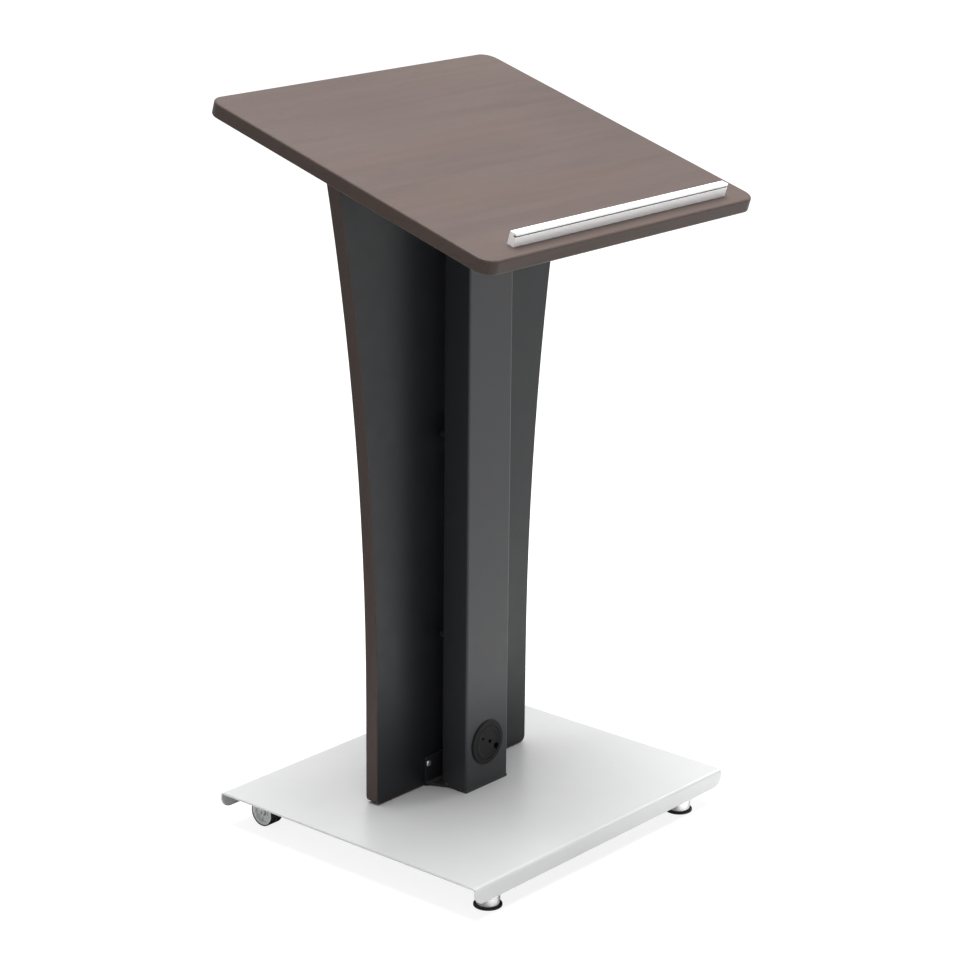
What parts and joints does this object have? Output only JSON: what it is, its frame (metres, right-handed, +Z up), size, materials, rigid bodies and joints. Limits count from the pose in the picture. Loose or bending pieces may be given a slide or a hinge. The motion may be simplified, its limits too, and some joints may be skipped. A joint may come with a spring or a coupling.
{
  "type": "presentation lectern",
  "caption": "Free-standing lectern with a sloped wood-grain top, paper stop, steel column, flared front panel, sheet-steel base, tilt-and-roll wheels and levelling feet.",
  "frame": {"origin": "on the floor, in the middle of the overall footprint", "axes": "+Z up, +Y from the speaker to the audience, +X to the speaker's right"},
  "size_m": [0.61, 0.5405, 1.133],
  "materials": {
    "wood_laminate": "satin wood-grain laminate",
    "wood_edging": "satin wood-grain edging",
    "dark_laminate": "matte dark laminate",
    "silver_coat": "satin silver powder coat",
    "charcoal_coat": "fine charcoal powder coat",
    "black_coat": "black powder coat",
    "anodised": "clear anodised extrusion",
    "black_plastic": "matte moulded",
    "grey_plastic": "satin moulded",
    "bronze": "sintered bronze",
    "tyre_rubber": "matte rubber",
    "pad_rubber": "matte rubber",
    "plated_cup": "nickel plated",
    "zinc_steel": "zinc plated"
  },
  "bodies": {
    "frame": {"base_plate": "silver_coat", "foot_plate": "black_coat", "column_bolts": "zinc_steel", "column_weld_nuts": "zinc_steel", "column": "charcoal_coat", "top_bracket": "black_coat", "top_board": "wood_laminate", "top_edge_band": "wood_edging", "top_screws": "zinc_steel", "paper_stop": "anodised", "stop_screws": "zinc_steel", "panel_board": "wood_laminate", "panel_back_laminate": "dark_laminate", "panel_edge_band": "wood_edging", "panel_spacers": "black_coat", "panel_bolts": "zinc_steel", "panel_inserts": "zinc_steel", "panel_angles": "black_coat", "angle_screws": "zinc_steel", "foot_plate_screws": "zinc_steel", "grommet_liner": "black_plastic", "wheel_brackets": "zinc_steel", "bracket_studs": "zinc_steel", "bracket_nuts": "zinc_steel", "wheel_axles": "zinc_steel", "axle_nuts": "zinc_steel", "foot_weld_nuts": "zinc_steel"},
    "grommet_cap": {"grommet_cap": "black_plastic"},
    "wheel_left": {"wheel_left_hub": "grey_plastic", "wheel_left_bush": "bronze", "wheel_left_tyre": "tyre_rubber"},
    "wheel_right": {"wheel_right_hub": "grey_plastic", "wheel_right_bush": "bronze", "wheel_right_tyre": "tyre_rubber"},
    "foot_left": {"foot_left_pad": "pad_rubber"},
    "foot_left_screw": {"foot_left_cup": "plated_cup", "foot_left_stud": "zinc_steel"},
    "foot_right": {"foot_right_pad": "pad_rubber"},
    "foot_right_screw": {"foot_right_cup": "plated_cup", "foot_right_stud": "zinc_steel"}
  },
  "joints": [
    {"name": "grommet_cap_turn", "type": "hinge", "parent": "frame", "child": "grommet_cap", "pos_m": [0, -0.01575, 0.1295], "axis": [0, 1, 0], "continuous": true},
    {"name": "wheel_left_spin", "type": "hinge", "parent": "frame", "child": "wheel_left", "pos_m": [-0.2405, 0.22525, 0.022], "axis": [1, 0, 0], "continuous": true},
    {"name": "wheel_right_spin", "type": "hinge", "parent": "frame", "child": "wheel_right", "pos_m": [0.2405, 0.22525, 0.022], "axis": [1, 0, 0], "continuous": true},
    {"name": "foot_left_level", "type": "slide", "parent": "frame", "child": "foot_left", "axis": [0, 0, -1], "range_m": [-0.0015, 0.006]},
    {"name": "foot_left_turn", "type": "hinge", "parent": "foot_left", "child": "foot_left_screw", "pos_m": [-0.23, -0.21675, 0], "axis": [0, 0, -1], "range_deg": [-360, 1440]},
    {"name": "foot_right_level", "type": "slide", "parent": "frame", "child": "foot_right", "axis": [0, 0, -1], "range_m": [-0.0015, 0.006]},
    {"name": "foot_right_turn", "type": "hinge", "parent": "foot_right", "child": "foot_right_screw", "pos_m": [0.23, -0.21675, 0], "axis": [0, 0, -1], "range_deg": [-360, 1440]}
  ],
  "couplings": [
    {"joint": "foot_left_turn", "follows": "foot_left_level", "rad_per_m": 4188.8},
    {"joint": "foot_right_turn", "follows": "foot_right_level", "rad_per_m": 4188.8}
  ]
}
